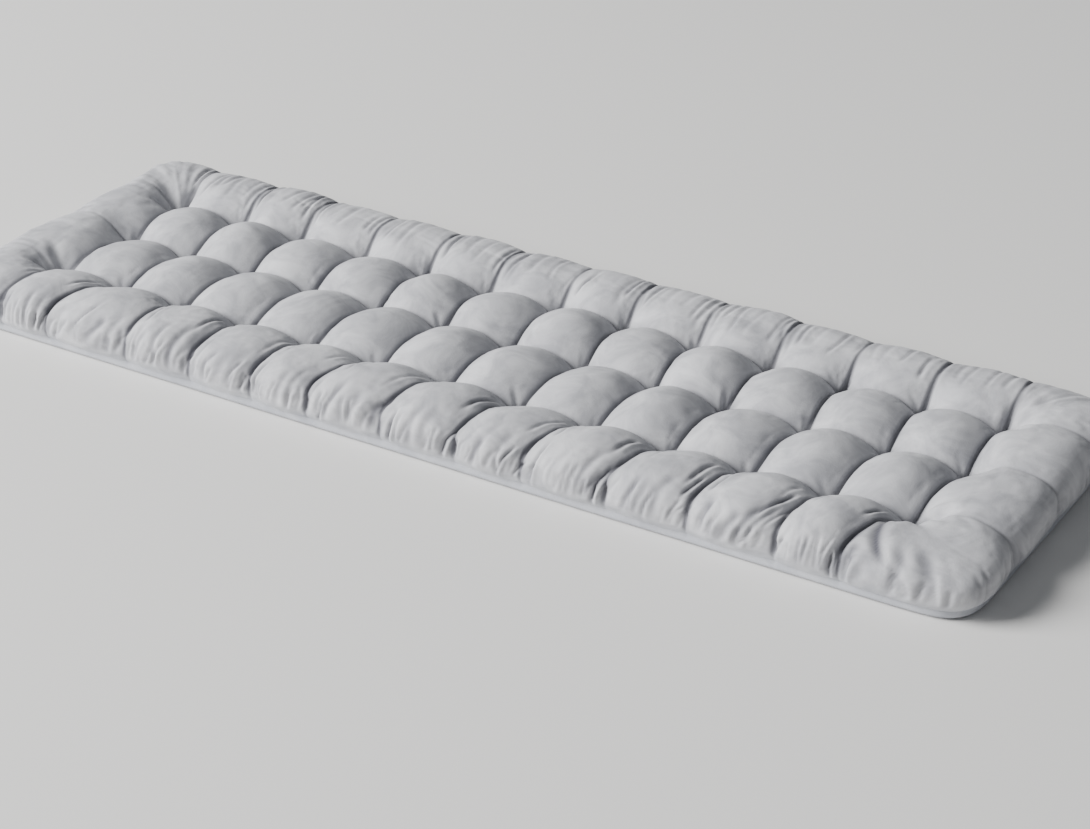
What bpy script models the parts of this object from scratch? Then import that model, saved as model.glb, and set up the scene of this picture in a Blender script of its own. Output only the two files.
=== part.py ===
"""A tufted bench cushion, lying on its back on a flat surface.

One stuffed cover, 1.8 m long: the face is drawn down at three rows of thirteen tufts, so that it
swells into four rows of fourteen puffs. The outer puffs roll over the edge down to a low seam, where
the face is gathered onto a flat base. The tufting thread goes right through and pulls a small dimple
into the base under each tuft.

Metres, +Z up, +X along the bench, front edge at -Y. The origin is at the middle of the base.
"""

import math
import random

import bmesh
import bpy

# Overall sizes
LENGTH = 1.800
DEPTH = 0.600
CROWN = 0.090           # height of a puff's top above the floor
COLUMNS = 14
ROWS = 4

# Tufts
TUFT_HEIGHT = 0.030     # floor to the bottom of a tuft
EDGE_MARGIN = 0.147     # outermost tuft to the widest line of the edge
CREASE_LIFT = 0.56      # how far the crease between two tufts rises, as a share of the crown
PUFF_POWER = 0.72       # below 1, a puff's flanks are steep and its top is broad
TUFT_STRAY = 0.0035     # how far off its place a tuft may be, along and across
TUFT_STRAY_DEEP = 0.0025
CROWN_STRAY = 0.0035

# The rows of tufts, which stand a little out of line with each other
TUFT_ROWS = [
    {"row": "front", "y": -0.1525, "shift_x": -0.008},
    {"row": "middle", "y": 0.0060, "shift_x": 0.002},
    {"row": "back", "y": 0.1525, "shift_x": -0.008},
]

# The rolled edge: its section runs out from the last tuft, over the crown and down to the seam
CROWN_OUT = 0.072      # last tuft to the top of an edge puff
WIDEST_HEIGHT = 0.044
ROLL_END = math.radians(128)
ROLL_SQUARENESS = 2.5  # 2 is an ellipse, more is squarer
ROLL_LENGTH = 0.110    # cloth from the crown to the seam
CORNER_SQUARENESS = 5.0
SEAM_NOTCH = 0.003     # how far a crease is drawn in at the seam
GATHER = 0.0050        # depth of the gathers at the seam
PLEAT = 0.006          # depth of a second fold beside a crease on the edge puffs
PLEAT_AT = 0.80        # where it lies between one tuft line and the next
PLEATS = (0.0, 0.6, 1.0)
BASE_RINGS = [
    {"ring": "tuck under the seam", "out": 0.135, "z": 0.0050},
    {"ring": "edge of the flat base", "out": 0.122, "z": 0.0},
]

# The creases that run out over each side: how far they rise at the crown of the edge, as a share of
# it, and how far they are drawn in at the widest line. The front is filled and gathered more loosely.
SIDES = {
    "front": {"rim_lift": 0.68, "notch": 0.013},
    "back": {"rim_lift": 0.93, "notch": 0.006},
    "left": {"rim_lift": 0.94, "notch": 0.006},
    "right": {"rim_lift": 0.84, "notch": 0.008},
}

# How much lower than a puff the crown is at each corner
CORNER_DROPS = {
    ("left", "front"): 0.008,
    ("right", "front"): 0.010,
    ("left", "back"): 0.001,
    ("right", "back"): 0.006,
}

# How far each front crease drifts to the left on its way down the wall, from the left tuft on
FRONT_LEANS = [0.010, 0.042, 0.0, 0.006, 0.013, 0.035, 0.025, 0.021, 0.036, 0.026, 0.024, 0.015, 0.040]
LEAN_REACH = 0.120     # cloth from a tuft to where the drift is complete
LEAN_FADE = 0.140      # cloth past the outermost tufts over which the drift dies away

# Pull marks of the tufting thread in the base
DIMPLE_RADIUS = 0.024
DIMPLE_DEPTH = 0.015
DIMPLE_SIDES = 10
CUTTER_OVERLAP = 0.002
FLAT_NORMAL = 0.999    # a face that points down more than this is the flat base

# Where the points of a puff lie between one tuft line and the next
PUFF_STEPS = [0.0, 0.055, 0.20, 0.40, 0.60, PLEAT_AT, 0.945]
MARGIN_STEPS = [0.11, 0.40, 0.75]
ROLL_STEPS = 6

FABRIC_GREY = (0.47, 0.47, 0.49, 1.0)
FABRIC_ROUGHNESS = 0.85

TUFT_COLUMNS = COLUMNS - 1
TUFT_X = LENGTH / 2 - EDGE_MARGIN
TUFT_PITCH = 2 * TUFT_X / (TUFT_COLUMNS - 1)


def clear_scene():
    for item in list(bpy.data.objects):
        bpy.data.objects.remove(item)


def fabric_material():
    material = bpy.data.materials.new("grey_microfibre")
    material.use_nodes = True
    shader = material.node_tree.nodes["Principled BSDF"]
    shader.inputs["Base Color"].default_value = FABRIC_GREY
    shader.inputs["Roughness"].default_value = FABRIC_ROUGHNESS
    shader.inputs["Metallic"].default_value = 0.0
    return material


def puff(share):
    """How high the face stands between two tuft lines: 0 on a line, 1 halfway to the next."""
    return math.sin(math.pi * share) ** PUFF_POWER


def uneven_tufts():
    """The place and depth of each tuft, a little off the grid as hand tufting is."""
    chance = random.Random(5)
    tufts = {}
    for j, row in enumerate(TUFT_ROWS):
        for i in range(TUFT_COLUMNS):
            tufts[i, j] = (
                row["shift_x"] + chance.uniform(-TUFT_STRAY, TUFT_STRAY),
                chance.uniform(-TUFT_STRAY, TUFT_STRAY),
                chance.uniform(-TUFT_STRAY_DEEP, TUFT_STRAY_DEEP),
            )
    return tufts


def uneven_crowns():
    """How much each puff stands above or below the usual crown, and how deep its second fold is."""
    chance = random.Random(8)
    crowns = {}
    for j in range(ROWS):
        for i in range(COLUMNS):
            crowns[i, j] = (chance.uniform(-CROWN_STRAY, CROWN_STRAY), chance.choice(PLEATS))
    return crowns


def lines_along(lines):
    """Stations across the face in one direction: the tuft line before, the share of the way to the
    next line, how high the puff stands there, and how far past the outermost tufts, if at all."""
    last = len(lines) - 1
    edge = [(CROWN_OUT * step, puff(step / 2)) for step in MARGIN_STEPS]
    edge += [(CROWN_OUT + ROLL_LENGTH * step / ROLL_STEPS, 1.0) for step in range(ROLL_STEPS + 1)]
    stations = []
    for roll, rise in reversed(edge):
        stations.append({"cell": 0, "line": 0, "share": 0.0, "rise": rise, "roll": -roll})
    for line in range(last):
        for share in PUFF_STEPS:
            rise = puff(share)
            stations.append({"cell": line + 1, "line": line, "share": share, "rise": rise, "roll": 0.0})
    stations.append({"cell": last, "line": last, "share": 0.0, "rise": 0.0, "roll": 0.0})
    for roll, rise in edge:
        stations.append({"cell": last + 1, "line": last, "share": 0.0, "rise": rise, "roll": roll})
    return stations


def roll_section(roll):
    """How far out the cloth is at this distance along the section, and its height: 1 at the crown,
    0 at the widest line and below 0 under it."""
    if roll <= CROWN_OUT:
        return roll, 1.0
    angle = ROLL_END * (roll - CROWN_OUT) / ROLL_LENGTH
    power = 2 / ROLL_SQUARENESS
    level = math.copysign(abs(math.cos(angle)) ** power, math.cos(angle))
    return CROWN_OUT + (EDGE_MARGIN - CROWN_OUT) * math.sin(angle) ** power, level


def outward(roll_x, roll_y):
    """The direction out of the edge, turned through a rounded corner, and the distance along it."""
    roll = max(abs(roll_x), abs(roll_y))
    if roll == 0.0:
        return 0.0, 0.0, 0.0
    length = (abs(roll_x) ** CORNER_SQUARENESS + abs(roll_y) ** CORNER_SQUARENESS) ** (1 / CORNER_SQUARENESS)
    return roll_x / length, roll_y / length, roll


def anchor(across, along, tufts):
    """The point of the tuft grid that a station belongs to, and how deep the tufts are there."""
    i, u = across["line"], across["share"]
    j, v = along["line"], along["share"]
    corners = [(i, j, (1 - u) * (1 - v))]
    if u > 0.0:
        corners.append((i + 1, j, u * (1 - v)))
    if v > 0.0:
        corners.append((i, j + 1, (1 - u) * v))
    if u > 0.0 and v > 0.0:
        corners.append((i + 1, j + 1, u * v))
    x = sum((-TUFT_X + TUFT_PITCH * a + tufts[a, b][0]) * weight for a, b, weight in corners)
    y = sum((TUFT_ROWS[b]["y"] + tufts[a, b][1]) * weight for a, b, weight in corners)
    z = TUFT_HEIGHT + sum(tufts[a, b][2] * weight for a, b, weight in corners)
    return x, y, z


def edge_reach(across, along, tufts):
    """How much further or less the edge lies from the last tuft, so that the outline stays straight."""
    x, y, _ = anchor(across, along, tufts)
    reach_x = LENGTH / 2 - abs(x) if across["roll"] else EDGE_MARGIN
    reach_y = DEPTH / 2 - abs(y) if along["roll"] else EDGE_MARGIN
    return reach_x / EDGE_MARGIN, reach_y / EDGE_MARGIN


def side_of(roll_x, roll_y):
    """The side of the cushion that a point of the edge belongs to."""
    if abs(roll_y) >= abs(roll_x):
        return SIDES["front"] if roll_y < 0 else SIDES["back"]
    return SIDES["left"] if roll_x < 0 else SIDES["right"]


def smooth(share):
    return share * share * (3 - 2 * share)


def corner_drop(roll_x, roll_y):
    """How far the crown has sunk here on its way into a corner."""
    corner = "left" if roll_x < 0 else "right", "front" if roll_y < 0 else "back"
    return CORNER_DROPS[corner] * min(1.0, min(abs(roll_x), abs(roll_y)) / CROWN_OUT)


def lean(across, along):
    """How far a point of the front wall is drawn to the left with the creases beside it."""
    if along["roll"] >= 0.0:
        return 0.0
    line, share = across["line"], across["share"]
    drift = FRONT_LEANS[line] * (1 - share)
    if share > 0.0:
        drift += FRONT_LEANS[line + 1] * share
    down = smooth(min(1.0, -along["roll"] / LEAN_REACH))
    return drift * down * (1 - smooth(min(1.0, abs(across["roll"]) / LEAN_FADE)))


def face_point(across, along, tufts, crowns):
    """Where a point of the gathered face lies."""
    x, y, floor = anchor(across, along, tufts)
    out_x, out_y, roll = outward(across["roll"], along["roll"])
    rise_x, rise_y = across["rise"], along["rise"]
    side = side_of(across["roll"], along["roll"])
    toward_rim = smooth(min(1.0, roll / CROWN_OUT))
    crease = CREASE_LIFT + (side["rim_lift"] - CREASE_LIFT) * toward_rim
    lift = crease * (rise_x + rise_y) + (1 - 2 * crease) * rise_x * rise_y
    extra, pleat = crowns[across["cell"], along["cell"]]
    top = floor + (CROWN - TUFT_HEIGHT) * lift + extra * rise_x * rise_y
    top -= corner_drop(across["roll"], along["roll"])
    if roll == 0.0:
        return x, y, top
    out, level = roll_section(roll)
    if PLEAT_AT in (across["share"], along["share"]):
        top -= PLEAT * pleat * toward_rim
    above_seam = min(1.0, 1 + level)
    notch = SEAM_NOTCH + (side["notch"] - SEAM_NOTCH) * above_seam**2
    out -= notch * (1 - min(rise_x, rise_y)) * toward_rim
    if level >= 0.0:
        z = WIDEST_HEIGHT + (top - WIDEST_HEIGHT) * level
    else:
        z = WIDEST_HEIGHT * (1 + level)
    stretch_x, stretch_y = edge_reach(across, along, tufts)
    x -= lean(across, along)
    return x + out_x * out * stretch_x, y + out_y * out * stretch_y, z


def base_point(across, along, tufts, ring):
    """Where a point of the base lies, on one of its rings inside the seam."""
    x, y, _ = anchor(across, along, tufts)
    out_x, out_y, _ = outward(across["roll"], along["roll"])
    stretch_x, stretch_y = edge_reach(across, along, tufts)
    x -= lean(across, along)
    return x + out_x * ring["out"] * stretch_x, y + out_y * ring["out"] * stretch_y, ring["z"]


def shape_face(sheet, across, along, tufts, crowns):
    """Moves the points of a flat grid into the tufted face, and gathers its rim in and out."""
    places = {}
    for vert in sheet.verts:
        i = round((vert.co.x + 0.5) * (len(across) - 1))
        j = round((vert.co.y + 0.5) * (len(along) - 1))
        places[vert] = (i, j)
    for vert, (i, j) in places.items():
        vert.co = face_point(across[i], along[j], tufts, crowns)
        roll_x, roll_y = across[i]["roll"], along[j]["roll"]
        out_x, out_y, roll = outward(roll_x, roll_y)
        place_round_rim = i if abs(roll_y) >= abs(roll_x) else j
        if place_round_rim % 2 and roll > CROWN_OUT:
            from_corner = 1 - min(abs(roll_x), abs(roll_y)) / roll
            depth = GATHER * from_corner * (roll - CROWN_OUT) / ROLL_LENGTH
            vert.co.x -= out_x * depth
            vert.co.y -= out_y * depth
    return places


def close_with_base(sheet, places, across, along, tufts):
    """Extrudes the seam in under the cushion, ring by ring, and fills the flat base."""
    rim = [edge for edge in sheet.edges if edge.is_boundary]
    seam = {vert: places[vert] for edge in rim for vert in edge.verts}
    for ring in BASE_RINGS:
        made = bmesh.ops.extrude_edge_only(sheet, edges=rim)["geom"]
        rim = [item for item in made if isinstance(item, bmesh.types.BMEdge) and item.is_boundary]
        fresh = {vert for edge in rim for vert in edge.verts}
        inner = {}
        for vert in fresh:
            above = next(edge.other_vert(vert) for edge in vert.link_edges if edge.other_vert(vert) in seam)
            inner[vert] = seam[above]
        for vert, (i, j) in inner.items():
            vert.co = base_point(across[i], along[j], tufts, ring)
        seam = inner
    bmesh.ops.contextual_create(sheet, geom=rim)


def centre_on_origin(sheet):
    """Puts the middle of the cushion's box at x = y = 0."""
    for axis in (0, 1):
        ends = [vert.co[axis] for vert in sheet.verts]
        middle = (min(ends) + max(ends)) / 2
        for vert in sheet.verts:
            vert.co[axis] -= middle


def add_object(name, sheet, material, collection):
    bmesh.ops.recalc_face_normals(sheet, faces=sheet.faces)
    mesh = bpy.data.meshes.new(name)
    sheet.to_mesh(mesh)
    sheet.free()
    mesh.materials.append(material)
    made = bpy.data.objects.new(name, mesh)
    collection.objects.link(made)
    return made


def make_cushion(tufts, crowns, material, collection):
    across = lines_along(range(TUFT_COLUMNS))
    along = lines_along(TUFT_ROWS)
    sheet = bmesh.new()
    bmesh.ops.create_grid(sheet, x_segments=len(across) - 1, y_segments=len(along) - 1, size=0.5)
    places = shape_face(sheet, across, along, tufts, crowns)
    close_with_base(sheet, places, across, along, tufts)
    centre_on_origin(sheet)
    cushion = add_object("cushion", sheet, material, collection)
    cushion.data.shade_smooth()
    for face in cushion.data.polygons:
        if face.normal.z < -FLAT_NORMAL:
            face.use_smooth = False
    return cushion


def make_dimple_cutter(tufts, material, collection):
    """One cone for each tuft, point up in the base."""
    cones = bmesh.new()
    height = DIMPLE_DEPTH + CUTTER_OVERLAP
    for (i, j), (shift_x, shift_y, _) in tufts.items():
        made = bmesh.ops.create_cone(
            cones,
            cap_ends=True,
            segments=DIMPLE_SIDES,
            radius1=DIMPLE_RADIUS * height / DIMPLE_DEPTH,
            radius2=0.0,
            depth=height,
        )
        middle = (
            -TUFT_X + TUFT_PITCH * i + shift_x,
            TUFT_ROWS[j]["y"] + shift_y,
            height / 2 - CUTTER_OVERLAP,
        )
        bmesh.ops.translate(cones, verts=made["verts"], vec=middle)
    cutter = add_object("tuft_dimple_cutter", cones, material, collection)
    cutter.data.shade_smooth()
    cutter.hide_render = True
    cutter.display_type = "WIRE"
    return cutter


def build():
    clear_scene()
    parts = bpy.data.collections.new("bench_cushion")
    cutters = bpy.data.collections.new("cutters")
    bpy.context.scene.collection.children.link(parts)
    bpy.context.scene.collection.children.link(cutters)
    material = fabric_material()
    tufts = uneven_tufts()
    crowns = uneven_crowns()
    cushion = make_cushion(tufts, crowns, material, parts)
    cutter = make_dimple_cutter(tufts, material, cutters)
    cut = cushion.modifiers.new("tuft_dimples", "BOOLEAN")
    cut.operation = "DIFFERENCE"
    cut.object = cutter


build()
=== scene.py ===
"""The looks of the tufted bench cushion.

The cover is a fine sheet laid over the stuffed shape, with more cloth than the shape needs, and
blown out by the filling while the tufting thread and the seam hold it. A brushed grey cloth, the
thread of the tufts, soft daylight from the front left and a pale floor finish it.
"""

import math
import random

import bmesh
import bpy
import numpy as np
from mathutils import Matrix, Vector, noise


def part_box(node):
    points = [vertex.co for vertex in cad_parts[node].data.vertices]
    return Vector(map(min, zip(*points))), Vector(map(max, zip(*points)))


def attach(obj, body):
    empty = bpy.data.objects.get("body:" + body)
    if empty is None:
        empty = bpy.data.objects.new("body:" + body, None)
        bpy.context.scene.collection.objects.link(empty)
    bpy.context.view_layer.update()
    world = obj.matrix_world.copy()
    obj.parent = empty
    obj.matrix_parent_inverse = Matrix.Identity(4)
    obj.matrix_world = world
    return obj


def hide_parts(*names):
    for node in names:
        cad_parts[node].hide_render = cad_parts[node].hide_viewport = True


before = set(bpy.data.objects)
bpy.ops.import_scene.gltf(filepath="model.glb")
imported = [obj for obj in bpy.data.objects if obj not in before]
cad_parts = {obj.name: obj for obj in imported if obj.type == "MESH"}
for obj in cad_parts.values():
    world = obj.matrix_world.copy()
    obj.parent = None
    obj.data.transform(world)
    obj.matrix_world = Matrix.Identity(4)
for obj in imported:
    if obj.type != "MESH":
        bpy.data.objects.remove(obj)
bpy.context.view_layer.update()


def table(columns, *rows):
    """Rows of values as dictionaries, by the names of their columns."""
    names = columns.split()
    return [dict(zip(names, row)) for row in rows]


# The cushion's box, as built
LOW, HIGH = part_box("cushion")
LENGTH = HIGH[0] - LOW[0]
DEPTH = HIGH[1] - LOW[1]
CROWN = 0.090

# Tufts
TUFT_COLUMNS = 13
TUFT_HEIGHT = 0.030
EDGE_MARGIN = 0.147
CREASE_LIFT = 0.56
PUFF_POWER = 0.72
TUFT_STRAY = 0.0035
TUFT_STRAY_DEEP = 0.0025
CROWN_STRAY = 0.0035
TUFT_ROWS = table(
    "row y shift_x",
    ("front", -0.1525, -0.008),
    ("middle", 0.0060, 0.002),
    ("back", 0.1525, -0.008),
)
TUFT_X = LENGTH / 2 - EDGE_MARGIN
TUFT_PITCH = 2 * TUFT_X / (TUFT_COLUMNS - 1)

# The rolled edge
CROWN_OUT = 0.072
WIDEST_HEIGHT = 0.044
ROLL_END = math.radians(128)
ROLL_SQUARENESS = 2.5
ROLL_LENGTH = 0.110
CORNER_SQUARENESS = 5.0
SEAM_NOTCH = 0.003
SIDES = {
    "front": {"rim_lift": 0.68, "notch": 0.013},
    "back": {"rim_lift": 0.93, "notch": 0.006},
    "left": {"rim_lift": 0.94, "notch": 0.006},
    "right": {"rim_lift": 0.84, "notch": 0.008},
}
CORNER_DROPS = {
    ("left", "front"): 0.008,
    ("right", "front"): 0.010,
    ("left", "back"): 0.001,
    ("right", "back"): 0.006,
}
BASE_RINGS = table(
    "ring out z",
    ("under the seam", 0.1350, 0.0095),
    ("tuck", 0.1340, 0.0050),
    ("foot", 0.1300, 0.0015),
    ("edge of the flat base", 0.122, 0.0),
)

# How far each front crease drifts to the left on its way down the wall, from the left tuft on
FRONT_LEANS = [0.010, 0.042, 0.0, 0.006, 0.013, 0.035, 0.025, 0.021, 0.036, 0.026, 0.024, 0.015, 0.040]
LEAN_REACH = 0.120
LEAN_FADE = 0.140

# How finely the cloth is divided; the filling is simulated on every second line
COLUMN_POINTS = 52
ROW_POINTS = 30
MARGIN_POINTS = 24
ROLL_POINTS = 40
CROWDING = 0.40

# Pull marks in the base
DIMPLE_RADIUS = 0.024
DIMPLE_DEPTH = 0.012

# The cloth of the cover while it is filled
SPARE_CLOTH = 0.04
SPARE_AT_TUFTS = 0.08
SPARE_AT_SEAM = 0.14
STUFFING = 4.0
CLOTH_STEPS = 6
CLOTH_MASS = 0.0005
CLOTH_STRETCH = 15.0
CLOTH_SHEAR = 5.0
CLOTH_BEND = 0.05
CLOTH_DAMPING = 5.0
HELD_BELOW = 0.30
SPARE_BELOW = 0.60
MOST_MOVED = 0.006
SIM_FRAMES = 20

# Grooves along the lines between tufts, the pit at each tuft, and the painted shade along the lines, on
# their flanks and round each tuft
GROOVE_WIDTH = 0.0028
GROOVE_DEPTH = 0.0022
PIT_WIDTH = 0.0075
PIT_DEPTH = 0.005
ROW_GROOVE = 0.45
SHADE_WIDTH = 0.0045
LINE_SHADE = 0.8
FLANK_WIDTH = 0.014
FLANK_SHADE = 0.12
ROUND_TUFT = 0.018
ROUND_TUFT_SHADE = 0.24
WIDER_ON_WALL = 0.25
WALL_FADE = 0.03
SEWN_FADE = 0.012

# How a fold is pressed in: the lip beside it, how it grows and fades, how much painted shade darkens
# it, and how it spreads round a corner
FOLD_LIP = 0.45
LIP_PLACE = 1.9
LIP_SPREAD = 1.4
FOLD_REACH = 5.0
FOLD_GROWS = 0.30
FOLD_FADES = 0.35
FOLD_SHADE = 0.0044
FOLD_SHADE_POWER = 1.4
WALL_START = 0.012
CORNER_FADE = 0.25
CORNER_SPREAD = 0.35
CORNER_TURN = 0.30

# Folds of the front wall: metres to the left of a tuft at the fold's start and end, and the way
# down from the last tufts at which it starts and ends
FRONT_FOLDS = table(
    "tuft near far start end width depth",
    (1, -0.050, -0.018, 0.080, 0.158, 0.0032, 0.0040),
    (1, 0.010, 0.024, 0.120, 0.180, 0.0028, 0.0025),
    (3, 0.052, 0.070, 0.112, 0.168, 0.0028, 0.0030),
    (4, 0.032, 0.050, 0.105, 0.160, 0.0028, 0.0032),
    (5, 0.002, 0.012, 0.135, 0.182, 0.0028, 0.0035),
    (6, -0.002, 0.010, 0.110, 0.182, 0.0032, 0.0045),
    (7, 0.018, 0.042, 0.095, 0.182, 0.0032, 0.0045),
    (8, 0.050, 0.076, 0.108, 0.180, 0.0026, 0.0032),
    (8, 0.004, 0.020, 0.085, 0.182, 0.0030, 0.0042),
    (9, 0.028, 0.047, 0.090, 0.182, 0.0034, 0.0050),
    (10, 0.028, 0.038, 0.075, 0.122, 0.0028, 0.0035),
    (11, 0.022, 0.050, 0.062, 0.122, 0.0036, 0.0048),
    (11, 0.012, 0.034, 0.075, 0.135, 0.0028, 0.0025),
    (12, 0.016, 0.022, 0.116, 0.182, 0.0032, 0.0050),
    (12, 0.004, -0.028, 0.036, 0.140, 0.0064, 0.0056),
    (12, 0.050, 0.053, 0.128, 0.182, 0.0028, 0.0036),
    (12, -0.052, -0.044, 0.115, 0.175, 0.0032, 0.0030),
)

# Gathers where the sides are sewn in: metres between two, and the way down at which they lie
GATHERS = table(
    "side step start end width depth stray drift",
    ("front", 0.026, 0.090, 0.176, 0.0060, 0.0028, 0.020, -0.015),
    ("front", 0.0115, 0.122, 0.172, 0.0031, 0.0020, 0.014, -0.011),
    ("back", 0.022, 0.035, 0.120, 0.0042, 0.0018, 0.022, 0.0),
    ("back", 0.018, 0.125, 0.182, 0.0036, 0.0016, 0.014, 0.0),
    ("left", 0.020, 0.060, 0.182, 0.0045, 0.0018, 0.020, 0.0),
    ("left", 0.014, 0.130, 0.182, 0.0036, 0.0014, 0.014, 0.0),
    ("right", 0.024, 0.125, 0.182, 0.0042, 0.0014, 0.016, 0.0),
)
CREASE_FOLDS = table(
    "side row start end width depth",
    ("front", 0, 0.018, 0.085, 0.0034, 0.0030),
    ("back", 2, 0.022, 0.105, 0.0034, 0.0032),
)
BESIDE_CREASE = (0.009, 0.026)
WOBBLE = 0.0028

# Small wrinkles round the tufts, and dents of the filling
WRINKLES = 6
WRINKLE_REACH = 0.09
WRINKLE_LIP = 0.4
WRINKLE_LENGTH = 0.034
WRINKLE_WIDTH = 0.0026
WRINKLE_DEPTH = 0.0017
CORNER_WRINKLES = 11
CORNER_FAN = 1.75
CORNER_WRINKLE_LENGTH = 0.075
CORNER_WRINKLE_WIDTH = 0.0055
CORNER_WRINKLE_DEPTH = 0.0030
DENTS = table(
    "dent size depth",
    ("broad", 0.060, 0.0018),
    ("small", 0.022, 0.0006),
)

# The tufting thread
THREAD_RADIUS = 0.0009
STITCH_LENGTH = 0.009
STITCH_SINK = 0.0004


# Colours of the cloth and the thread, and of the shade painted into the cloth's creases and low on its walls
NAP_DARK = (0.400, 0.402, 0.425, 1)
NAP_LIGHT = (0.620, 0.620, 0.638, 1)
# Painted shade of the creases, folds and tufts: its dark colour, and how far it darkens the cloth
PAINTED_SHADE_COLOUR = (0.085, 0.085, 0.105, 1)
PAINTED_SHADE_STRENGTH = 0.80
# Painted shade low on the walls: a darker, bluer colour, how much of it, and the heights where it starts and
# is full
COOL_SHADE_COLOUR = (0.40, 0.43, 0.49, 1)
COOL_SHADE_SHARE = 0.45
COOL_SHADE_TOP = 0.036
COOL_SHADE_BOTTOM = 0.010
THREAD_COLOUR = (0.30, 0.30, 0.32, 1)

# The studio
FLOOR_SIZE = 30
FLOOR_COLOUR = (0.80, 0.79, 0.77, 1)
FILL_COLOUR = (0.90, 0.94, 1.0, 1)
FILL_STRENGTH = 0.200
KEY_DIRECTION = (-0.62, -0.50, 0.48)
KEY_DISTANCE = 13.0
KEY_POWER = 4150
KEY_SIZE = 6.4
CAMERA_PLACE = (1.8638, -2.888, 1.7655)
CAMERA_DOWN = 27.995
CAMERA_TURN = 31.856
CAMERA_LENS = 82.93
CAMERA_SENSOR = 36


def puff(share):
    """How full a puff is at this share of the way between two creases."""
    return math.sin(math.pi * share) ** PUFF_POWER


def smooth(share):
    """A smooth step from 0 to 1 for one number."""
    return share * share * (3 - 2 * share)


def uneven_tufts():
    """How far each tuft strays: along, across and in height."""
    chance = random.Random(5)
    tufts = {}
    for j, row in enumerate(TUFT_ROWS):
        for i in range(TUFT_COLUMNS):
            tufts[i, j] = (
                row["shift_x"] + chance.uniform(-TUFT_STRAY, TUFT_STRAY),
                chance.uniform(-TUFT_STRAY, TUFT_STRAY),
                chance.uniform(-TUFT_STRAY_DEEP, TUFT_STRAY_DEEP),
            )
    return tufts


def uneven_crowns():
    """How much higher or lower each puff's crown is, drawn as it is for the solid."""
    chance = random.Random(8)
    crowns = {}
    for j in range(len(TUFT_ROWS) + 1):
        for i in range(TUFT_COLUMNS + 1):
            crowns[i, j] = chance.uniform(-CROWN_STRAY, CROWN_STRAY)
            chance.choice((0, 1, 2))
    return crowns


def lines_along(lines, points):
    """Stations across the cushion: its near margin, each puff between two lines, its far margin."""
    last = len(lines) - 1
    steps = [(k + 1) / MARGIN_POINTS for k in range(MARGIN_POINTS - 1)]
    edge = [(CROWN_OUT * step, puff(step / 2)) for step in steps]
    edge += [(CROWN_OUT + ROLL_LENGTH * k / ROLL_POINTS, 1.0) for k in range(ROLL_POINTS + 1)]
    stations = []
    for roll, rise in reversed(edge):
        stations.append({"cell": 0, "line": 0, "share": 0.0, "rise": rise, "roll": -roll})
    for line in range(last):
        for k in range(points):
            even = k / points
            share = even - CROWDING * math.sin(2 * math.pi * even) / (2 * math.pi)
            station = {"cell": line + 1, "line": line, "share": share, "rise": puff(share), "roll": 0.0}
            stations.append(station)
    stations.append({"cell": last, "line": last, "share": 0.0, "rise": 0.0, "roll": 0.0})
    for roll, rise in edge:
        stations.append({"cell": last + 1, "line": last, "share": 0.0, "rise": rise, "roll": roll})
    return stations


def roll_section(roll):
    """The rolled edge: how far out it reaches, and 1 at the crown to below 0 at the seam."""
    if roll <= CROWN_OUT:
        return roll, 1.0
    angle = ROLL_END * (roll - CROWN_OUT) / ROLL_LENGTH
    power = 2 / ROLL_SQUARENESS
    level = math.copysign(abs(math.cos(angle)) ** power, math.cos(angle))
    return CROWN_OUT + (EDGE_MARGIN - CROWN_OUT) * math.sin(angle) ** power, level


def outward(roll_x, roll_y):
    """The way out over the edge, rounded at the corners, and how far along it this is."""
    roll = max(abs(roll_x), abs(roll_y))
    if roll == 0.0:
        return 0.0, 0.0, 0.0
    length = (abs(roll_x) ** CORNER_SQUARENESS + abs(roll_y) ** CORNER_SQUARENESS) ** (1 / CORNER_SQUARENESS)
    return roll_x / length, roll_y / length, roll


def anchor(across, along, tufts):
    """The place between the four tufts round a station, and the height of the tufts there."""
    i, u = across["line"], across["share"]
    j, v = along["line"], along["share"]
    corners = [(i, j, (1 - u) * (1 - v))]
    if u > 0.0:
        corners.append((i + 1, j, u * (1 - v)))
    if v > 0.0:
        corners.append((i, j + 1, (1 - u) * v))
    if u > 0.0 and v > 0.0:
        corners.append((i + 1, j + 1, u * v))
    x = sum((-TUFT_X + TUFT_PITCH * a + tufts[a, b][0]) * weight for a, b, weight in corners)
    y = sum((TUFT_ROWS[b]["y"] + tufts[a, b][1]) * weight for a, b, weight in corners)
    z = TUFT_HEIGHT + sum(tufts[a, b][2] * weight for a, b, weight in corners)
    return x, y, z


def edge_reach(x, y, across, along):
    """How far the edge is from here, against its usual distance from the last tufts."""
    reach_x = LENGTH / 2 - abs(x) if across["roll"] else EDGE_MARGIN
    reach_y = DEPTH / 2 - abs(y) if along["roll"] else EDGE_MARGIN
    return reach_x / EDGE_MARGIN, reach_y / EDGE_MARGIN


def side_of(roll_x, roll_y):
    """The side of the cushion that a station belongs to."""
    if abs(roll_y) >= abs(roll_x):
        return SIDES["front"] if roll_y < 0 else SIDES["back"]
    return SIDES["left"] if roll_x < 0 else SIDES["right"]


def corner_drop(roll_x, roll_y):
    """How far the crown has sunk here on its way into a corner."""
    corner = "left" if roll_x < 0 else "right", "front" if roll_y < 0 else "back"
    return CORNER_DROPS[corner] * min(1.0, min(abs(roll_x), abs(roll_y)) / CROWN_OUT)


def lean(across, along):
    """How far a point of the front wall is drawn to the left with the creases beside it."""
    if along["roll"] >= 0.0:
        return 0.0
    line, share = across["line"], across["share"]
    drift = FRONT_LEANS[line] * (1 - share)
    if share > 0.0:
        drift += FRONT_LEANS[line + 1] * share
    down = smooth(min(1.0, -along["roll"] / LEAN_REACH))
    return drift * down * (1 - smooth(min(1.0, abs(across["roll"]) / LEAN_FADE)))


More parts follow.
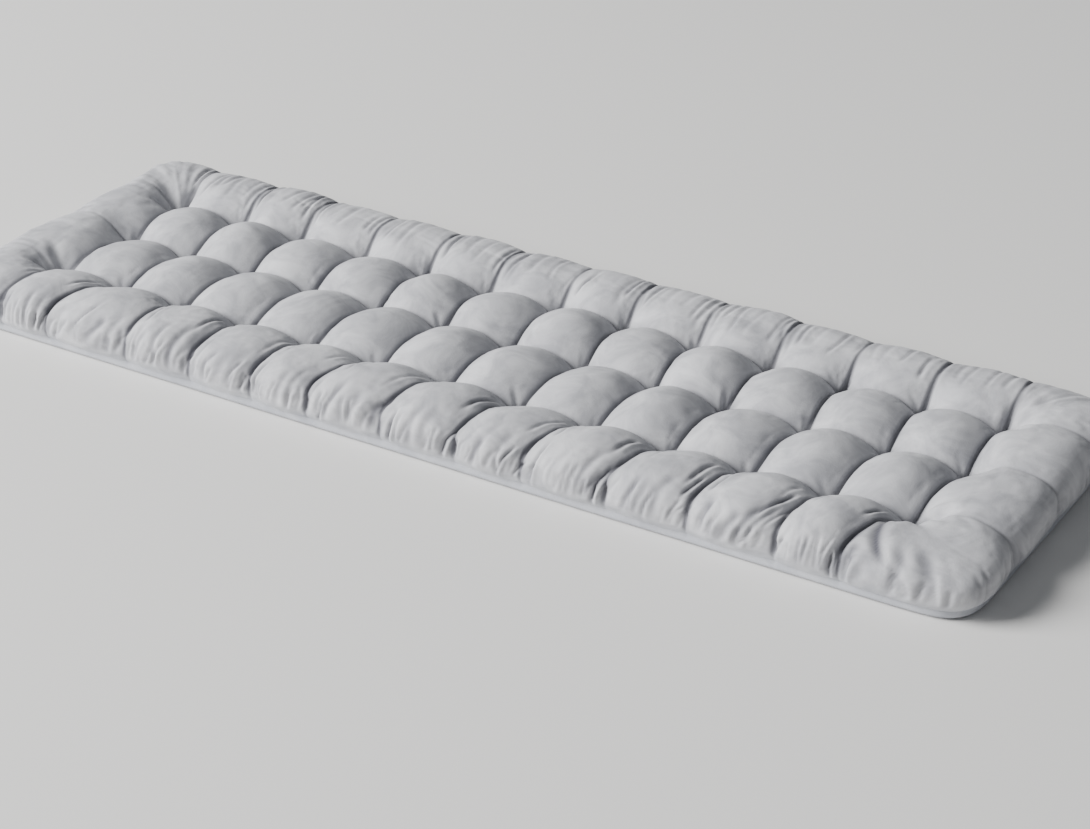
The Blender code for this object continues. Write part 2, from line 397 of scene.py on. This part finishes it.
def face_point(across, along, tufts, crowns):
    """Where the cover lies at two crossing stations, from the puffs' crowns down to the seam."""
    x, y, floor = anchor(across, along, tufts)
    out_x, out_y, roll = outward(across["roll"], along["roll"])
    rise_x, rise_y = across["rise"], along["rise"]
    side = side_of(across["roll"], along["roll"])
    toward_rim = smooth(min(1.0, roll / CROWN_OUT))
    crease = CREASE_LIFT + (side["rim_lift"] - CREASE_LIFT) * toward_rim
    lift = crease * (rise_x + rise_y) + (1 - 2 * crease) * rise_x * rise_y
    extra = crowns[across["cell"], along["cell"]]
    top = floor + (CROWN - TUFT_HEIGHT) * lift + extra * rise_x * rise_y
    top -= corner_drop(across["roll"], along["roll"])
    if roll == 0.0:
        return x, y, top
    out, level = roll_section(roll)
    above_seam = min(1.0, 1 + level)
    notch = SEAM_NOTCH + (side["notch"] - SEAM_NOTCH) * above_seam**2
    out -= notch * (1 - min(rise_x, rise_y)) * toward_rim
    if level >= 0.0:
        z = WIDEST_HEIGHT + (top - WIDEST_HEIGHT) * level
    else:
        z = WIDEST_HEIGHT * (1 + level)
    stretch_x, stretch_y = edge_reach(x, y, across, along)
    return x + out_x * out * stretch_x - lean(across, along), y + out_y * out * stretch_y, z


def base_point(across, along, tufts, out, z):
    """Where the base panel lies under two crossing stations."""
    x, y, _ = anchor(across, along, tufts)
    out_x, out_y, _ = outward(across["roll"], along["roll"])
    stretch_x, stretch_y = edge_reach(x, y, across, along)
    return x + out_x * out * stretch_x - lean(across, along), y + out_y * out * stretch_y, z


def grid_places(sheet, count_x, count_y):
    """The station numbers of each point of a fresh grid."""
    return {
        vert: (round((vert.co.x + 0.5) * count_x), round((vert.co.y + 0.5) * count_y))
        for vert in sheet.verts
    }


def lay_cover(across, along, tufts, crowns, moved):
    """The face of the cover and the turn under its seam, as one open sheet."""
    sheet = bmesh.new()
    column = sheet.verts.layers.int.new("column")
    row = sheet.verts.layers.int.new("row")
    count_x, count_y = len(across) - 1, len(along) - 1
    bmesh.ops.create_grid(sheet, x_segments=count_x, y_segments=count_y, size=0.5)
    places = grid_places(sheet, count_x, count_y)
    for vert, (i, j) in places.items():
        vert.co = face_point(across[i], along[j], tufts, crowns)
        if moved is not None:
            vert.co += Vector(moved[i, j])
        vert[column] = i + 1
        vert[row] = j + 1
    rim = [edge for edge in sheet.edges if edge.is_boundary]
    for ring in BASE_RINGS:
        before = {vert for edge in rim for vert in edge.verts}
        made = bmesh.ops.extrude_edge_only(sheet, edges=rim)["geom"]
        rim = [item for item in made if isinstance(item, bmesh.types.BMEdge) and item.is_boundary]
        for vert in {vert for edge in rim for vert in edge.verts}:
            neighbours = [edge.other_vert(vert) for edge in vert.link_edges]
            above = next(other for other in neighbours if other in before)
            i, j = places[above]
            places[vert] = (i, j)
            vert.co = base_point(across[i], along[j], tufts, ring["out"], ring["z"])
            vert[column] = 0
            vert[row] = 0
    return sheet, places, rim


def halve_rim(sheet, places, rim):
    """Joins every second point of the inner ring to its neighbour, for the coarser base."""
    targets = {}
    for vert in {vert for edge in rim for vert in edge.verts}:
        i, j = places[vert]
        if i % 2 or j % 2:
            for edge in vert.link_edges:
                other = edge.other_vert(vert)
                if edge.is_boundary and places[other] == (i - i % 2, j - j % 2):
                    targets[vert] = other
    bmesh.ops.weld_verts(sheet, targetmap=targets)


def close_base(sheet, across, along, tufts):
    """Fills the base with a grid half as fine, dimpled under each tuft, and sews it to the ring."""
    count_x, count_y = (len(across) - 1) // 2, (len(along) - 1) // 2
    made = bmesh.ops.create_grid(sheet, x_segments=count_x, y_segments=count_y, size=0.5)["verts"]
    inner = BASE_RINGS[-1]["out"]
    full = CROWN_OUT + ROLL_LENGTH
    faces = {face for vert in made for face in vert.link_faces}
    for vert in made:
        i = 2 * round((vert.co.x + 0.5) * count_x)
        j = 2 * round((vert.co.y + 0.5) * count_y)
        roll = max(abs(across[i]["roll"]), abs(along[j]["roll"]))
        vert.co = base_point(across[i], along[j], tufts, inner * roll / full, 0.0)
    for i, j in tufts:
        x = -TUFT_X + TUFT_PITCH * i + tufts[i, j][0]
        y = TUFT_ROWS[j]["y"] + tufts[i, j][1]
        for vert in made:
            away = math.hypot(vert.co.x - x, vert.co.y - y) / DIMPLE_RADIUS
            if away < 1.0:
                vert.co.z = max(vert.co.z, DIMPLE_DEPTH * (1 - away) ** 2)
    bmesh.ops.reverse_faces(sheet, faces=list(faces))
    bmesh.ops.remove_doubles(sheet, verts=sheet.verts, dist=0.0001)


def make_cover(across, along, tufts, crowns, moved):
    """The closed cover as a mesh, and the station numbers of its points, 0 off the face."""
    sheet, places, rim = lay_cover(across, along, tufts, crowns, moved)
    halve_rim(sheet, places, rim)
    close_base(sheet, across, along, tufts)
    bmesh.ops.recalc_face_normals(sheet, faces=sheet.faces)
    mesh = bpy.data.meshes.new("cushion_cover")
    sheet.to_mesh(mesh)
    sheet.free()
    numbers = []
    for name in ("column", "row"):
        values = np.empty(len(mesh.vertices), dtype=np.int32)
        mesh.attributes[name].data.foreach_get("value", values)
        mesh.attributes.remove(mesh.attributes[name])
        numbers.append(values)
    return mesh, numbers[0], numbers[1]


def spare_cloth(across, along):
    """How much of a point is held, and how much cloth it has beyond the shape under it."""
    low = across["rise"] + along["rise"]
    roll = max(abs(across["roll"]), abs(along["roll"]))
    held = roll >= CROWN_OUT + ROLL_LENGTH or low < HELD_BELOW
    near_seam = max(0.0, (roll - CROWN_OUT) / ROLL_LENGTH)
    spare = SPARE_CLOTH + (SPARE_AT_SEAM - SPARE_CLOTH) * near_seam
    if low < SPARE_BELOW:
        spare = max(spare, SPARE_AT_TUFTS)
    return held, spare / SPARE_AT_SEAM


def fill(across, along, tufts, crowns):
    """Blows a coarser cover out against its tufts and seam; says how far each point moves."""
    mesh, columns, rows = make_cover(across, along, tufts, crowns, None)
    cover = bpy.data.objects.new("filled_cover", mesh)
    bpy.context.collection.objects.link(cover)
    held_group = cover.vertex_groups.new(name="held")
    spare_group = cover.vertex_groups.new(name="spare")
    for k, (column, row) in enumerate(zip(columns, rows)):
        held, spare = True, 0.0
        if column > 0:
            held, spare = spare_cloth(across[column - 1], along[row - 1])
        held_group.add([k], 1.0 if held else 0.0, "REPLACE")
        spare_group.add([k], spare, "REPLACE")
    cloth = cover.modifiers.new("filling", "CLOTH")
    settings = cloth.settings
    settings.quality = CLOTH_STEPS
    settings.mass = CLOTH_MASS
    settings.air_damping = 1.0
    settings.tension_stiffness = CLOTH_STRETCH
    settings.compression_stiffness = CLOTH_STRETCH
    settings.shear_stiffness = CLOTH_SHEAR
    settings.bending_stiffness = CLOTH_BEND
    settings.tension_damping = CLOTH_DAMPING
    settings.compression_damping = CLOTH_DAMPING
    settings.shear_damping = CLOTH_DAMPING
    settings.vertex_group_mass = "held"
    settings.vertex_group_shrink = "spare"
    settings.shrink_min = 0.0
    settings.shrink_max = -SPARE_AT_SEAM
    settings.use_pressure = True
    settings.uniform_pressure_force = STUFFING
    settings.effector_weights.gravity = 0.0
    cloth.collision_settings.use_collision = False
    cloth.point_cache.frame_start = 1
    cloth.point_cache.frame_end = SIM_FRAMES
    for step in range(1, SIM_FRAMES + 1):
        bpy.context.scene.frame_set(step)
    filled = cover.evaluated_get(bpy.context.evaluated_depsgraph_get()).data
    moved = np.zeros((len(across), len(along), 3))
    for k, (column, row) in enumerate(zip(columns, rows)):
        if column > 0:
            way = filled.vertices[k].co - mesh.vertices[k].co
            if way.length > 0.0:
                way *= MOST_MOVED * math.tanh(way.length / MOST_MOVED) / way.length
            moved[column - 1, row - 1] = way
    bpy.context.scene.frame_set(1)
    bpy.data.objects.remove(cover)
    bpy.data.meshes.remove(mesh)
    return moved


def between(moved):
    """The same movements on a grid with one more point between each two."""
    fine = np.zeros((2 * moved.shape[0] - 1, 2 * moved.shape[1] - 1, 3))
    fine[::2, ::2] = moved
    fine[1::2, ::2] = (moved[1:] + moved[:-1]) / 2
    fine[:, 1::2] = (fine[:, :-2:2] + fine[:, 2::2]) / 2
    return fine


def ease(values):
    """A smooth step from 0 to 1 over arrays."""
    share = np.clip(values, 0.0, 1.0)
    return share * share * (3 - 2 * share)


def add_fold(relief, side, fold):
    """Presses one fold into a side wall: a groove that fades at both ends, with a lip on its right,
    and painted shade in the groove.
    """
    down = (side["down"] - fold["start"]) / (fold["end"] - fold["start"])
    middle = fold["near"] + (fold["far"] - fold["near"]) * ease(down)
    middle += fold.get("wobble", 0.0) * np.sin(2 * math.pi * down + fold["near"] * 100)
    away = (side["along"] - middle) / (fold["width"] * side["spread"])
    chosen = (down > 0.0) & (down < 1.0) & (np.abs(away) < FOLD_REACH)
    away = away[chosen]
    down = down[chosen]
    strength = ease(down / FOLD_GROWS) * ease((1.0 - down) / FOLD_FADES)
    strength = strength * side["weight"][chosen] * fold["depth"]
    groove = np.exp(-(away**2))
    lip = FOLD_LIP * np.exp(-((away - LIP_PLACE) ** 2) / LIP_SPREAD)
    index = side["index"][chosen]
    relief["depth"][index] += strength * (groove - lip)
    # Painted shade: how far the cloth's colour is darkened along the fold's groove
    painted_shading = groove**FOLD_SHADE_POWER * strength / FOLD_SHADE
    relief["shade"][index] = np.maximum(relief["shade"][index], painted_shading)


def wall(name, points, roll_x, roll_y):
    """The points of one side wall, with their place along it, fanned out round its corners, and
    their way down it."""
    lengthwise = name in ("front", "back")
    over, aside = (roll_y, roll_x) if lengthwise else (roll_x, roll_y)
    down = -over if name in ("front", "left") else over
    index = np.nonzero((down > WALL_START) & (np.abs(aside) <= down))[0]
    down = down[index]
    turn = aside[index] / down
    place = points[index, 0 if lengthwise else 1]
    end = TUFT_X if lengthwise else TUFT_ROWS[-1]["y"]
    along = np.clip(place, -end, end) + EDGE_MARGIN * turn
    fan = np.where(turn == 0.0, 1.0, np.maximum(1.0, EDGE_MARGIN / down))
    return {
        "index": index,
        "down": down,
        "along": along,
        "weight": ease((1.0 - np.abs(turn)) / CORNER_FADE),
        "spread": fan * (1 + CORNER_SPREAD * ease(np.abs(turn) / CORNER_TURN)),
    }


def tuft_place(i, j, tufts):
    """Where a tuft is, seen from above."""
    return -TUFT_X + TUFT_PITCH * i + tufts[i, j][0], TUFT_ROWS[j]["y"] + tufts[i, j][1]


def add_gathers(relief, side, gather, chance):
    """A row of uneven gathers along a side, from one corner to the other."""
    reach = side["along"].max()
    place = side["along"].min()
    while place < reach:
        fold = {
            "near": place,
            "far": place + gather["drift"] + chance.uniform(-0.008, 0.008),
            "start": gather["start"] + chance.uniform(-1, 1) * gather["stray"],
            "end": gather["end"] - chance.uniform(0.0, 0.5) * gather["stray"],
            "width": gather["width"] * chance.uniform(0.7, 1.35),
            "depth": gather["depth"] * chance.uniform(0.1, 1.5),
            "wobble": chance.uniform(-WOBBLE, WOBBLE),
        }
        add_fold(relief, side, fold)
        place += gather["step"] * chance.uniform(0.45, 1.6)


def add_wall_folds(relief, points, drift, roll_x, roll_y, tufts):
    """The gathers of the four side walls, and the folds beside their creases."""
    chance = random.Random(21)
    upright = points + np.stack((drift, 0 * drift, 0 * drift), axis=1)
    walls = {name: wall(name, upright, roll_x, roll_y) for name in SIDES}
    for gather in GATHERS:
        add_gathers(relief, walls[gather["side"]], gather, chance)
    for fold in CREASE_FOLDS:
        for i in range(TUFT_COLUMNS):
            x = tuft_place(i, fold["row"], tufts)[0]
            for turn in (-1, 1):
                near = x + turn * chance.uniform(*BESIDE_CREASE)
                placed = dict(fold, near=near, far=near + turn * chance.uniform(-0.004, 0.010))
                placed["start"] += chance.uniform(0.0, 0.02)
                placed["end"] += chance.uniform(-0.02, 0.02)
                placed["depth"] *= chance.choice((0.0, 0.5, 0.8, 1.2))
                add_fold(relief, walls[fold["side"]], placed)
    front = walls["front"]
    front["along"] = front["along"] - drift[front["index"]]
    for fold in FRONT_FOLDS:
        x = tuft_place(fold["tuft"], 0, tufts)[0]
        add_fold(relief, front, dict(fold, near=x - fold["near"], far=x - fold["far"]))


def add_tuft_wrinkles(relief, points, tufts):
    """Short wrinkles that run out from each tuft, longer at the corners."""
    chance = random.Random(33)
    for i, j in tufts:
        x, y = tuft_place(i, j, tufts)
        corner = i in (0, TUFT_COLUMNS - 1) and j in (0, len(TUFT_ROWS) - 1)
        near = np.nonzero(np.hypot(points[:, 0] - x, points[:, 1] - y) < WRINKLE_REACH)[0]
        step_x = points[near, 0] - x
        step_y = points[near, 1] - y
        for _ in range(CORNER_WRINKLES if corner else WRINKLES):
            angle = chance.uniform(-1, 1) * (CORNER_FAN if corner else math.pi)
            if corner:
                angle += math.atan2(j - len(TUFT_ROWS) // 2, i - TUFT_COLUMNS // 2)
            length = (CORNER_WRINKLE_LENGTH if corner else WRINKLE_LENGTH) * chance.uniform(0.6, 1.3)
            depth = (CORNER_WRINKLE_DEPTH if corner else WRINKLE_DEPTH) * chance.uniform(0.3, 1.2)
            out = (step_x * math.cos(angle) + step_y * math.sin(angle)) / length
            aside = step_y * math.cos(angle) - step_x * math.sin(angle)
            aside = aside / ((CORNER_WRINKLE_WIDTH if corner else WRINKLE_WIDTH) * (1 + np.clip(out, 0, 1)))
            strength = depth * ease(out / 0.25) * ease((1 - out) / 0.6)
            lip = WRINKLE_LIP * np.exp(-((aside - LIP_PLACE) ** 2))
            relief["depth"][near] += strength * (np.exp(-(aside**2)) - lip)


def add_creases(relief, columns, rows, across, along):
    """Grooves on the lines between tufts, a pit at each tuft, and painted shade along the lines, on
    their flanks and round each tuft.
    """
    away_x = np.array([off_line(station, TUFT_PITCH) for station in across])[columns]
    pitch_y = (TUFT_ROWS[-1]["y"] - TUFT_ROWS[0]["y"]) / (len(TUFT_ROWS) - 1)
    away_y = np.array([off_line(station, pitch_y) for station in along])[rows]
    roll = np.maximum(
        np.abs(np.array([station["roll"] for station in across])[columns]),
        np.abs(np.array([station["roll"] for station in along])[rows]),
    )
    above_seam = ease((CROWN_OUT + ROLL_LENGTH - roll) / WALL_FADE)
    to_tuft = np.hypot(away_x, away_y)
    on_wall = ease((roll - CROWN_OUT) / WALL_FADE)
    darkest = LINE_SHADE + (1 - LINE_SHADE) * on_wall
    for away, share in ((away_x, 1.0), (away_y, ROW_GROOVE)):
        groove = np.exp(-((away / GROOVE_WIDTH) ** 2)) * above_seam * share
        relief["depth"] += GROOVE_DEPTH * groove
        # Painted shade: darkening along each line, and a weaker, wider darkening over its flanks
        wide = SHADE_WIDTH * (1 + WIDER_ON_WALL * on_wall)
        line_shade = np.exp(-((away / wide) ** 2)) * above_seam * share
        relief["shade"] = np.maximum(relief["shade"], darkest * line_shade)
        flank_shade = np.exp(-((away / FLANK_WIDTH) ** 2)) * above_seam
        relief["shade"] = np.maximum(relief["shade"], FLANK_SHADE * flank_shade)
    relief["depth"] += PIT_DEPTH * np.exp(-((to_tuft / PIT_WIDTH) ** 2))
    # Painted shade round each tuft: a dark spot and a wider, softer ring
    tuft_shade = np.exp(-((to_tuft / (2 * SHADE_WIDTH)) ** 2))
    relief["shade"] = np.maximum(relief["shade"], tuft_shade)
    round_tuft = ROUND_TUFT_SHADE * np.exp(-((to_tuft / ROUND_TUFT) ** 2))
    relief["shade"] = np.maximum(relief["shade"], round_tuft)


def off_line(station, pitch):
    """The way from a station to the nearest line of tufts."""
    if station["roll"] != 0.0:
        return abs(station["roll"])
    return min(station["share"], 1 - station["share"]) * pitch


def tuft_floors(mesh, columns, rows):
    """The height of the cover at each tuft."""
    first = MARGIN_POINTS + ROLL_POINTS + 1
    floors = {}
    for k, (column, row) in enumerate(zip(columns, rows)):
        i, off_i = divmod(int(column) - first, COLUMN_POINTS)
        j, off_j = divmod(int(row) - first, ROW_POINTS)
        if column > 0 and off_i == 0 and off_j == 0 and 0 <= i < TUFT_COLUMNS and 0 <= j < len(TUFT_ROWS):
            floors[i, j] = mesh.vertices[k].co.z
    return floors


def add_relief(mesh, columns, rows, across, along, tufts):
    """Presses creases, folds, gathers, wrinkles and dents into the face of the cover, and keeps the
    painted shade of creases, folds and tufts on its points.
    """
    face = np.nonzero(columns > 0)[0]
    points = np.empty(len(mesh.vertices) * 3)
    mesh.vertices.foreach_get("co", points)
    points = points.reshape(-1, 3)
    normals = np.empty(len(mesh.vertices) * 3)
    mesh.vertex_normals.foreach_get("vector", normals)
    normals = normals.reshape(-1, 3)
    roll_x = np.array([station["roll"] for station in across])[columns[face] - 1]
    roll_y = np.array([station["roll"] for station in along])[rows[face] - 1]
    relief = {"depth": np.zeros(len(face)), "shade": np.zeros(len(face))}
    drift = np.array([lean(across[i - 1], along[j - 1]) for i, j in zip(columns[face], rows[face])])
    add_wall_folds(relief, points[face], drift, roll_x, roll_y, tufts)
    add_tuft_wrinkles(relief, points[face], tufts)
    add_creases(relief, columns[face] - 1, rows[face] - 1, across, along)
    roll = np.maximum(np.abs(roll_x), np.abs(roll_y))
    sewn = ease((CROWN_OUT + ROLL_LENGTH - roll) / SEWN_FADE)
    for dent in DENTS:
        waves = [noise.noise(Vector(point) / dent["size"]) for point in points[face]]
        relief["depth"] += dent["depth"] * np.array(waves)
    points[face] -= normals[face] * (relief["depth"] * sewn)[:, None]
    mesh.vertices.foreach_set("co", points.ravel())
    # Painted shade of creases, folds and tufts, kept on the points for the cloth's colour
    shade = np.zeros(len(mesh.vertices))
    shade[face] = relief["shade"]
    mesh.attributes.new("shade", "FLOAT", "POINT").data.foreach_set("value", shade)
    mesh.update()


def brushed_cloth(name, cool_shade):
    """Light grey brushed cloth: a soft nap, a fine fibre bump, painted shade in its creases, and a
    painted shade, cooler and darker, towards the bottom of the walls and under the seam."""
    material = bpy.data.materials.new(name)
    material.use_nodes = True
    tree = material.node_tree
    shader = tree.nodes["Principled BSDF"]
    place = tree.nodes.new("ShaderNodeTexCoord")
    nap = tree.nodes.new("ShaderNodeGroup")
    nap.node_tree = nap_pattern()
    tree.links.new(place.outputs["Object"], nap.inputs["Place"])
    parts = tree.nodes.new("ShaderNodeSeparateXYZ")
    tree.links.new(place.outputs["Object"], parts.inputs["Vector"])
    # Painted shade: the cloth turns darker and bluer from the upper height down to the lower one
    low = tree.nodes.new("ShaderNodeMapRange")
    low.inputs["From Min"].default_value = COOL_SHADE_TOP
    low.inputs["From Max"].default_value = COOL_SHADE_BOTTOM
    low.inputs["To Max"].default_value = cool_shade
    tree.links.new(parts.outputs["Z"], low.inputs["Value"])
    cool_shade_mix = tree.nodes.new("ShaderNodeMix")
    cool_shade_mix.data_type = "RGBA"
    cool_shade_mix.inputs["B"].default_value = COOL_SHADE_COLOUR
    tree.links.new(nap.outputs["Colour"], cool_shade_mix.inputs["A"])
    tree.links.new(low.outputs["Result"], cool_shade_mix.inputs["Factor"])
    # Painted shade: the cloth is mixed towards a near-black colour by the shade kept on its points
    shade = tree.nodes.new("ShaderNodeAttribute")
    shade.attribute_name = "shade"
    painted_shade_amount = tree.nodes.new("ShaderNodeMath")
    painted_shade_amount.operation = "MULTIPLY"
    painted_shade_amount.inputs[1].default_value = PAINTED_SHADE_STRENGTH
    tree.links.new(shade.outputs["Fac"], painted_shade_amount.inputs[0])
    painted_shading = tree.nodes.new("ShaderNodeMix")
    painted_shading.data_type = "RGBA"
    painted_shading.inputs["B"].default_value = PAINTED_SHADE_COLOUR
    tree.links.new(cool_shade_mix.outputs["Result"], painted_shading.inputs["A"])
    tree.links.new(painted_shade_amount.outputs["Value"], painted_shading.inputs["Factor"])
    tree.links.new(painted_shading.outputs["Result"], shader.inputs["Base Color"])
    tree.links.new(nap.outputs["Normal"], shader.inputs["Normal"])
    shader.inputs["Roughness"].default_value = 0.80
    shader.inputs["Sheen Weight"].default_value = 0.18
    shader.inputs["Sheen Roughness"].default_value = 0.50
    shader.inputs["Specular IOR Level"].default_value = 0.20
    return material


def nap_pattern():
    """The brushed nap as a node group: patches of light and dark, and a bump of fine fibres."""
    if "brushed_nap" in bpy.data.node_groups:
        return bpy.data.node_groups["brushed_nap"]
    group = bpy.data.node_groups.new("brushed_nap", "ShaderNodeTree")
    group.interface.new_socket("Place", in_out="INPUT", socket_type="NodeSocketVector")
    group.interface.new_socket("Colour", in_out="OUTPUT", socket_type="NodeSocketColor")
    group.interface.new_socket("Normal", in_out="OUTPUT", socket_type="NodeSocketVector")
    start = group.nodes.new("NodeGroupInput")
    end = group.nodes.new("NodeGroupOutput")
    patches = group.nodes.new("ShaderNodeTexNoise")
    patches.inputs["Scale"].default_value = 17.0
    patches.inputs["Detail"].default_value = 5.0
    patches.inputs["Roughness"].default_value = 0.62
    patches.inputs["Distortion"].default_value = 0.8
    group.links.new(start.outputs["Place"], patches.inputs["Vector"])
    ramp = group.nodes.new("ShaderNodeValToRGB")
    ramp.color_ramp.elements[0].position = 0.34
    ramp.color_ramp.elements[0].color = NAP_DARK
    ramp.color_ramp.elements[1].position = 0.66
    ramp.color_ramp.elements[1].color = NAP_LIGHT
    group.links.new(patches.outputs["Fac"], ramp.inputs["Fac"])
    group.links.new(ramp.outputs["Color"], end.inputs["Colour"])
    fibres = group.nodes.new("ShaderNodeTexNoise")
    fibres.inputs["Scale"].default_value = 460.0
    fibres.inputs["Detail"].default_value = 4.0
    group.links.new(start.outputs["Place"], fibres.inputs["Vector"])
    bump = group.nodes.new("ShaderNodeBump")
    bump.inputs["Strength"].default_value = 0.35
    bump.inputs["Distance"].default_value = 0.0008
    group.links.new(fibres.outputs["Fac"], bump.inputs["Height"])
    group.links.new(bump.outputs["Normal"], end.inputs["Normal"])
    return group


def thread_material():
    """The grey thread of the tufts."""
    material = bpy.data.materials.new("tufting_thread")
    material.use_nodes = True
    shader = material.node_tree.nodes["Principled BSDF"]
    shader.inputs["Base Color"].default_value = THREAD_COLOUR
    shader.inputs["Roughness"].default_value = 0.6
    return material


def make_stitches(tufts, tops):
    """A short bar of thread in the pit of each tuft and under it in the base, as one mesh."""
    chance = random.Random(45)
    sheet = bmesh.new()
    for (i, j), top in tops.items():
        x, y = tuft_place(i, j, tufts)
        for z in (top - STITCH_SINK, DIMPLE_DEPTH + STITCH_SINK):
            turn = chance.uniform(0, math.pi)
            add_bar(sheet, Vector((x, y, z)), turn)
    mesh = bpy.data.meshes.new("tuft_stitches")
    sheet.to_mesh(mesh)
    sheet.free()
    mesh.shade_smooth()
    mesh.materials.append(thread_material())
    stitches = bpy.data.objects.new("tuft_stitches", mesh)
    bpy.context.collection.objects.link(stitches)
    return stitches


def add_bar(sheet, middle, turn):
    """A stitch that lies level: a thin bar whose ends narrow into the cloth."""
    made = bmesh.ops.create_uvsphere(sheet, u_segments=8, v_segments=8, radius=1.0)["verts"]
    for vert in made:
        length = vert.co.z * STITCH_LENGTH / 2
        bar = Vector((length, vert.co.x * THREAD_RADIUS, vert.co.y * THREAD_RADIUS))
        vert.co = middle + Matrix.Rotation(turn, 3, "Z") @ bar


def studio():
    """A pale floor, a key light from the front left, a soft fill and the camera."""
    bpy.ops.mesh.primitive_plane_add(size=FLOOR_SIZE, location=(0, 0, -0.0005))
    floor = bpy.context.object
    floor.name = "floor"
    material = bpy.data.materials.new("pale_floor")
    material.use_nodes = True
    shader = material.node_tree.nodes["Principled BSDF"]
    shader.inputs["Base Color"].default_value = FLOOR_COLOUR
    shader.inputs["Roughness"].default_value = 0.9
    floor.data.materials.append(material)
    world = bpy.data.worlds.new("soft_fill")
    world.use_nodes = True
    background = world.node_tree.nodes["Background"]
    background.inputs["Color"].default_value = FILL_COLOUR
    background.inputs["Strength"].default_value = FILL_STRENGTH
    bpy.context.scene.world = world
    key = bpy.data.lights.new("key", "AREA")
    key.energy = KEY_POWER
    key.size = KEY_SIZE
    key_object = bpy.data.objects.new("key", key)
    bpy.context.collection.objects.link(key_object)
    toward = Vector(KEY_DIRECTION).normalized()
    key_object.location = toward * KEY_DISTANCE
    key_object.rotation_euler = toward.to_track_quat("Z", "Y").to_euler()
    camera = bpy.data.cameras.new("camera")
    camera.sensor_width = CAMERA_SENSOR
    camera.lens = CAMERA_LENS
    camera_object = bpy.data.objects.new("camera", camera)
    bpy.context.collection.objects.link(camera_object)
    camera_object.location = CAMERA_PLACE
    camera_object.rotation_euler = (math.radians(90 - CAMERA_DOWN), 0, math.radians(CAMERA_TURN))
    bpy.context.scene.camera = camera_object


tufts = uneven_tufts()
crowns = uneven_crowns()
across = lines_along(range(TUFT_COLUMNS), COLUMN_POINTS)
along = lines_along(TUFT_ROWS, ROW_POINTS)
studio()
moved = None
moved = between(fill(across[::2], along[::2], tufts, crowns))
mesh, columns, rows = make_cover(across, along, tufts, crowns, moved)
add_relief(mesh, columns, rows, across, along, tufts)
mesh.shade_smooth()
mesh.materials.append(brushed_cloth("cover_cloth", COOL_SHADE_SHARE))
cover = bpy.data.objects.new("cushion_cover", mesh)
bpy.context.collection.objects.link(cover)
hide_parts("cushion")
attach(cover, "root")
stitches = make_stitches(tufts, tuft_floors(mesh, columns, rows))
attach(stitches, "root")
